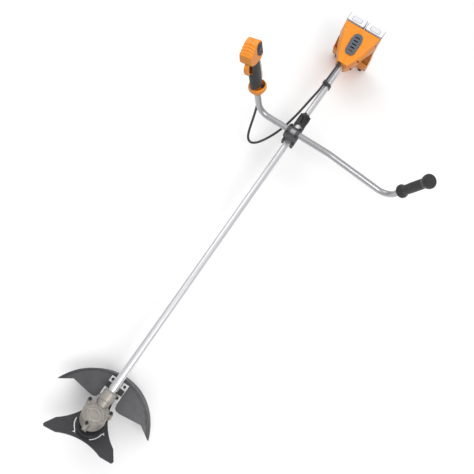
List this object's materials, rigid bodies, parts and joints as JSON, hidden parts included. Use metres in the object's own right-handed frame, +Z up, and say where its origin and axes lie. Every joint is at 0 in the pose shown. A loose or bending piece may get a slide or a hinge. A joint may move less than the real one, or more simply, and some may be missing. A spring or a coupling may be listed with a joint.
{
  "type": "brush cutter",
  "caption": "Battery brush cutter: long shaft with a bicycle handlebar, throttle grip, bevel gear head, star blade under a guard and a twin-battery power head.",
  "frame": {"origin": "centre of the harness eye, on the shaft's mid-plane", "axes": "+X along the shaft towards the power head and the operator, +Y towards the throttle side, +Z up when the tool lies on its guard and feet"},
  "size_m": [1.7872, 0.7375, 0.4623],
  "materials": {
    "cast_alloy": "bead-blasted die casting",
    "fastener_steel": "black oxide steel",
    "bearing_steel": "ground steel",
    "gear_steel": "machined and hardened steel",
    "flange_steel": "zinc plated steel",
    "blade_paint": "dark grey satin paint with bare ground edges",
    "guard_plastic": "fine textured moulding",
    "black_plastic": "satin moulding",
    "bracket_plate": "zinc plated sheet",
    "tube_aluminium": "satin anodised",
    "bush_plastic": "oil-filled nylon",
    "clamp_plastic": "dark grey painted casting",
    "hanger_black": "black coated steel",
    "grip_rubber_black": "matte moulded rubber",
    "cable_black": "matte jacket",
    "orange_plastic": "semi-gloss moulding",
    "dark_plastic": "textured moulding",
    "lever_plastic": "light grey moulding",
    "button_plastic": "soft-touch button",
    "vent_plastic": "blue-grey moulding",
    "motor_iron": "laminated steel with lacquered windings",
    "circuit_board": "lacquered board",
    "battery_shell": "white moulding with grey edges",
    "battery_latch_grey": "grey moulding",
    "foot_rubber": "moulded rubber"
  },
  "bodies": {
    "frame": {"gear_case": "cast_alloy", "gear_case_cover": "cast_alloy", "gear_case_screws": "fastener_steel", "guard_bolts": "fastener_steel", "clamp_screws": "fastener_steel", "grip_screws": "fastener_steel", "housing_screws": "fastener_steel", "grease_plug": "fastener_steel", "spindle_upper_bearing": "bearing_steel", "spindle_lower_bearing": "bearing_steel", "pinion_bearings": "bearing_steel", "motor_bearings": "bearing_steel", "blade_guard": "guard_plastic", "dust_collar": "black_plastic", "saddle_block": "black_plastic", "guard_bracket": "bracket_plate", "guard_strap": "bracket_plate", "shaft_tube": "tube_aluminium", "handlebar": "tube_aluminium", "bar_caps": "tube_aluminium", "shaft_bushes": "bush_plastic", "clamp_upper": "clamp_plastic", "clamp_lower": "clamp_plastic", "hanger_upper": "hanger_black", "hanger_lower": "hanger_black", "left_grip": "grip_rubber_black", "grip_rubber": "grip_rubber_black", "control_cable": "cable_black", "grip_cable_boot": "cable_black", "head_cable_gland": "cable_black", "cable_clip": "cable_black", "grip_shell_inner": "orange_plastic", "grip_shell_outer": "orange_plastic", "grip_collar": "orange_plastic", "housing_left": "orange_plastic", "housing_right": "orange_plastic", "control_panel": "dark_plastic", "trigger_switch": "dark_plastic", "vent_insert": "vent_plastic", "motor_stator": "motor_iron", "controller_board": "circuit_board", "rubber_feet": "foot_rubber"},
    "blade_set": {"output_spindle": "gear_steel", "bevel_gear": "gear_steel", "upper_flange": "flange_steel", "cutting_blade": "blade_paint", "lower_flange": "flange_steel", "rider_cup": "flange_steel", "blade_nut": "flange_steel"},
    "drive_line": {"bevel_pinion": "gear_steel", "drive_shaft": "gear_steel", "shaft_coupling": "gear_steel", "motor_rotor": "motor_iron"},
    "trigger": {"throttle_trigger": "orange_plastic"},
    "lockout": {"lockout_lever": "lever_plastic"},
    "button": {"power_button": "button_plastic"},
    "left_pack": {"battery_left": "battery_shell"},
    "right_pack": {"battery_right": "battery_shell"},
    "left_latch": {"battery_latch_left": "battery_latch_grey"},
    "right_latch": {"battery_latch_right": "battery_latch_grey"}
  },
  "joints": [
    {"name": "blade_spin", "type": "hinge", "parent": "frame", "child": "blade_set", "pos_m": [-1.214, 0, -0.036], "axis": [0.5592, 0, 0.829], "continuous": true},
    {"name": "drive_spin", "type": "hinge", "parent": "frame", "child": "drive_line", "pos_m": [-1.214, 0, -0.036], "axis": [1, 0, 0], "continuous": true},
    {"name": "trigger_pull", "type": "hinge", "parent": "frame", "child": "trigger", "pos_m": [-0.109, 0.21353, 0.24475], "axis": [0, -0.9563, 0.2924], "range_deg": [0, 14], "stiffness_Nm_per_rad": 0.8, "springref_deg": -11.46},
    {"name": "lockout_press", "type": "hinge", "parent": "frame", "child": "lockout", "pos_m": [-0.07, 0.20769, 0.22562], "axis": [0, 0.9563, -0.2924], "range_deg": [0, 5], "stiffness_Nm_per_rad": 1, "springref_deg": -5.73},
    {"name": "button_press", "type": "slide", "parent": "frame", "child": "button", "axis": [0, 0.9563, -0.2924], "range_m": [0, 0.0012], "stiffness_N_per_m": 800, "springref_m": -0.002},
    {"name": "left_pack_slide", "type": "slide", "parent": "frame", "child": "left_pack", "axis": [0, 0, 1], "range_m": [0, 0.12]},
    {"name": "right_pack_slide", "type": "slide", "parent": "frame", "child": "right_pack", "axis": [0, 0, 1], "range_m": [0, 0.12]},
    {"name": "left_latch_press", "type": "slide", "parent": "left_pack", "child": "left_latch", "axis": [0, 0, -1], "range_m": [0, 0.0025], "stiffness_N_per_m": 1200, "springref_m": -0.002},
    {"name": "right_latch_press", "type": "slide", "parent": "right_pack", "child": "right_latch", "axis": [0, 0, -1], "range_m": [0, 0.0025], "stiffness_N_per_m": 1200, "springref_m": -0.002}
  ],
  "couplings": [
    {"joint": "drive_spin", "follows": "blade_spin", "ratio": -1.3571}
  ]
}
